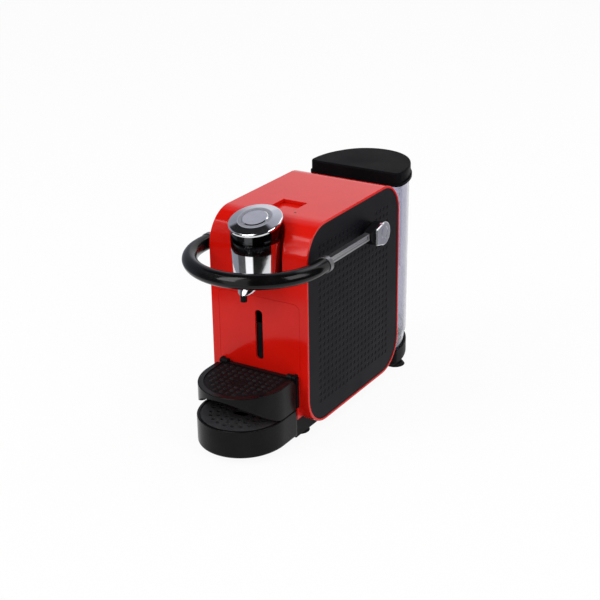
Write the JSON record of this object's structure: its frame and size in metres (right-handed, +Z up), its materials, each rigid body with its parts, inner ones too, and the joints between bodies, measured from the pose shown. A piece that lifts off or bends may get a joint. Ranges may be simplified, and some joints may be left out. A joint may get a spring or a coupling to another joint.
{
  "type": "capsule espresso machine",
  "caption": "Slim capsule espresso machine with a red wrap shell, chrome brew head, swing-up handle, folding cup shelf, drip tray and clear rear water tank.",
  "frame": {"origin": "on the table under the middle of the machine's outline", "axes": "+X to the right seen from the front, +Y to the rear where the tank stands, +Z up"},
  "size_m": [0.1608, 0.368, 0.2491],
  "materials": {
    "red_gloss": "glossy red",
    "panel_black": "dimpled satin black",
    "black_gloss": "glossy black",
    "black_matte": "satin black",
    "grip_black": "soft black",
    "chrome": "polished",
    "arm_metal": "satin",
    "clear_tank": "clear",
    "light_white": "translucent white",
    "lens_green": "clear tinted",
    "steel": "brushed",
    "heater_metal": "cast",
    "hose_white": "soft translucent",
    "foot_rubber": "matt",
    "board_green": "solder mask"
  },
  "bodies": {
    "machine": {"chassis_base": "black_matte", "foot_front_left": "foot_rubber", "foot_front_right": "foot_rubber", "foot_rear_left": "foot_rubber", "foot_rear_right": "foot_rubber", "base_screws": "steel", "cord_gland": "black_matte", "main_shell": "red_gloss", "side_panel_left": "panel_black", "side_panel_right": "panel_black", "pivot_bush_left": "black_matte", "pivot_bush_right": "black_matte", "drawer_rail_left": "black_matte", "drawer_rail_right": "black_matte", "head_sleeve": "chrome", "head_band": "black_gloss", "head_cap": "chrome", "light_ring": "light_white", "spout_cone": "chrome", "spout_nozzle": "black_gloss", "indicator_lens": "lens_green", "inner_frame": "black_matte", "brew_frame": "black_matte", "extraction_plate": "steel", "outlet_duct": "black_matte", "shutter_guide": "black_matte", "pump": "steel", "flow_meter": "black_matte", "heater_block": "heater_metal", "control_board": "board_green", "hose_inlet": "hose_white", "hose_heater": "hose_white", "hose_brew": "hose_white", "valve_socket": "black_matte"},
    "handle": {"handle_grip": "grip_black", "handle_collar_left": "chrome", "handle_collar_right": "chrome", "handle_arm_left": "arm_metal", "handle_arm_right": "arm_metal", "handle_hub_left": "chrome", "handle_hub_right": "chrome", "hub_socket_left": "black_matte", "hub_socket_right": "black_matte", "handle_axle": "steel", "drive_crank": "steel"},
    "cage": {"capsule_cage": "black_matte"},
    "shutter": {"capsule_shutter": "red_gloss"},
    "button": {"brew_button": "chrome"},
    "drawer": {"front_cover": "red_gloss", "capsule_bin": "black_matte", "shelf_bracket_left": "black_matte", "shelf_bracket_right": "black_matte"},
    "shelf": {"cup_shelf": "black_gloss", "shelf_mat": "black_matte"},
    "tray": {"drip_tray": "black_gloss", "drip_grid": "black_matte"},
    "tank": {"water_tank": "clear_tank"},
    "valve": {"tank_valve": "black_matte"},
    "lid": {"tank_lid": "black_gloss"}
  },
  "joints": [
    {"name": "handle_lift", "type": "hinge", "parent": "machine", "child": "handle", "pos_m": [0, 0.03065, 0.1995], "axis": [-1, 0, 0], "range_deg": [0, 82]},
    {"name": "cage_slide", "type": "slide", "parent": "machine", "child": "cage", "axis": [0, 1, 0], "range_m": [0, 0.02405]},
    {"name": "shutter_slide", "type": "slide", "parent": "machine", "child": "shutter", "axis": [0, 1, 0], "range_m": [0, 0.02405]},
    {"name": "button_press", "type": "slide", "parent": "machine", "child": "button", "axis": [0, 0.2756, -0.9613], "range_m": [0, 0.0015], "stiffness_N_per_m": 600},
    {"name": "drawer_pull", "type": "slide", "parent": "machine", "child": "drawer", "axis": [0, -1, 0], "range_m": [0, 0.11]},
    {"name": "shelf_fold", "type": "hinge", "parent": "drawer", "child": "shelf", "pos_m": [0, -0.10435, 0.074], "axis": [-1, 0, 0], "range_deg": [0, 88]},
    {"name": "tray_pull", "type": "slide", "parent": "machine", "child": "tray", "axis": [0, -1, 0], "range_m": [0, 0.1]},
    {"name": "tank_lift", "type": "slide", "parent": "machine", "child": "tank", "axis": [0, 0, 1], "range_m": [0, 0.06]},
    {"name": "lid_lift", "type": "slide", "parent": "tank", "child": "lid", "axis": [0, 0, 1], "range_m": [0, 0.04]},
    {"name": "valve_lift", "type": "slide", "parent": "tank", "child": "valve", "axis": [0, 0, 1], "range_m": [0, 0.002], "stiffness_N_per_m": 40}
  ],
  "couplings": [
    {"joint": "cage_slide", "follows": "handle_lift", "m_per_rad": 0.016778},
    {"joint": "shutter_slide", "follows": "handle_lift", "m_per_rad": 0.016778}
  ]
}
